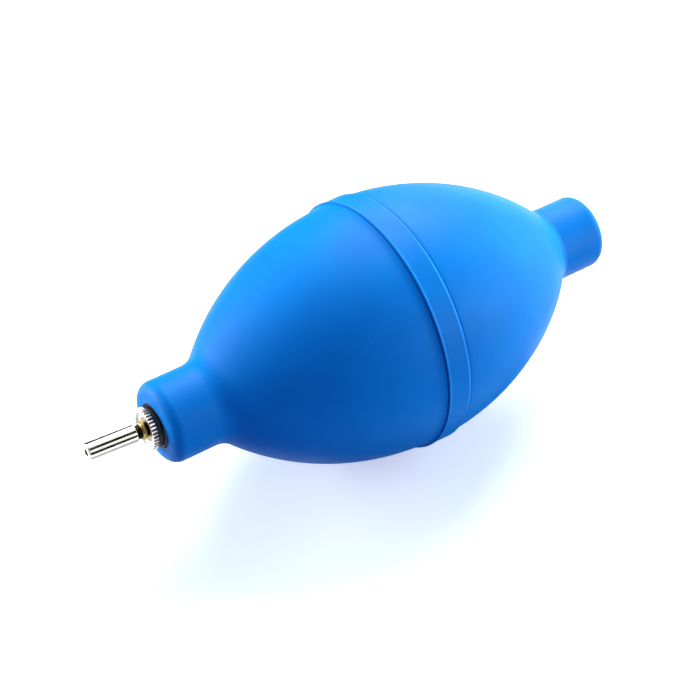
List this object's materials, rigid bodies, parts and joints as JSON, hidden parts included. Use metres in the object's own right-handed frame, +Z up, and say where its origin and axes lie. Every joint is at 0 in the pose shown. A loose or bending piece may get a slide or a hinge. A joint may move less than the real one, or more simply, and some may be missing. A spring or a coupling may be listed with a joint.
{
  "type": "dust blower bulb",
  "caption": "Egg-shaped soft rubber squeeze bulb with a raised middle band, a slim metal air nozzle in one neck and a sprung one-way air inlet in the other.",
  "frame": {"origin": "on the surface that the bulb lies on, under the middle of its overall length", "axes": "+X along the bulb's axis from the nozzle to the tail, +Z up from the surface, bulb lying on its side"},
  "size_m": [0.1126, 0.05, 0.05],
  "materials": {
    "blue_rubber": "smooth satin moulded rubber",
    "black_rubber": "matt black hard rubber",
    "nickel_plate": "bright nickel plate on brass",
    "brass": "turned brass",
    "steel": "stainless spring steel",
    "felt": "pressed wool felt"
  },
  "bodies": {
    "bulb_front": {"front_shell": "blue_rubber", "seam_band": "blue_rubber", "neck_bush": "black_rubber", "threaded_insert": "brass"},
    "bulb_rear": {"rear_shell": "blue_rubber", "valve_housing": "nickel_plate", "housing_seal": "black_rubber", "valve_seat": "black_rubber", "valve_spring": "steel", "stem_guide": "brass", "guide_ring": "steel", "filter_felt": "felt", "filter_gauze": "steel", "gauze_ring": "steel"},
    "nozzle_seal": {"nozzle_washer": "black_rubber"},
    "nozzle": {"nozzle_stem": "brass", "knurled_collar": "nickel_plate", "nozzle_tube": "nickel_plate"},
    "inlet_disc": {"valve_disc": "brass", "valve_stem": "steel"}
  },
  "joints": [
    {"name": "bulb_squeeze", "type": "slide", "parent": "bulb_front", "child": "bulb_rear", "axis": [-1, 0, 0], "range_m": [0, 0.016], "stiffness_N_per_m": 1200, "deforming": ["front_shell", "rear_shell", "seam_band"]},
    {"name": "nozzle_turn", "type": "hinge", "parent": "nozzle_seal", "child": "nozzle", "pos_m": [-0.04251, 0, 0.025], "axis": [-0.9985, 0.0402, 0.0362], "range_deg": [0, 3961]},
    {"name": "nozzle_travel", "type": "slide", "parent": "bulb_front", "child": "nozzle_seal", "axis": [-0.9985, 0.0402, 0.0362], "range_m": [0, 0.0077]},
    {"name": "inlet_open", "type": "slide", "parent": "bulb_rear", "child": "inlet_disc", "axis": [-1, 0, 0], "range_m": [0, 0.0012], "stiffness_N_per_m": 60, "deforming": ["valve_spring"]}
  ],
  "couplings": [
    {"joint": "nozzle_turn", "follows": "nozzle_travel", "rad_per_m": 8976}
  ]
}
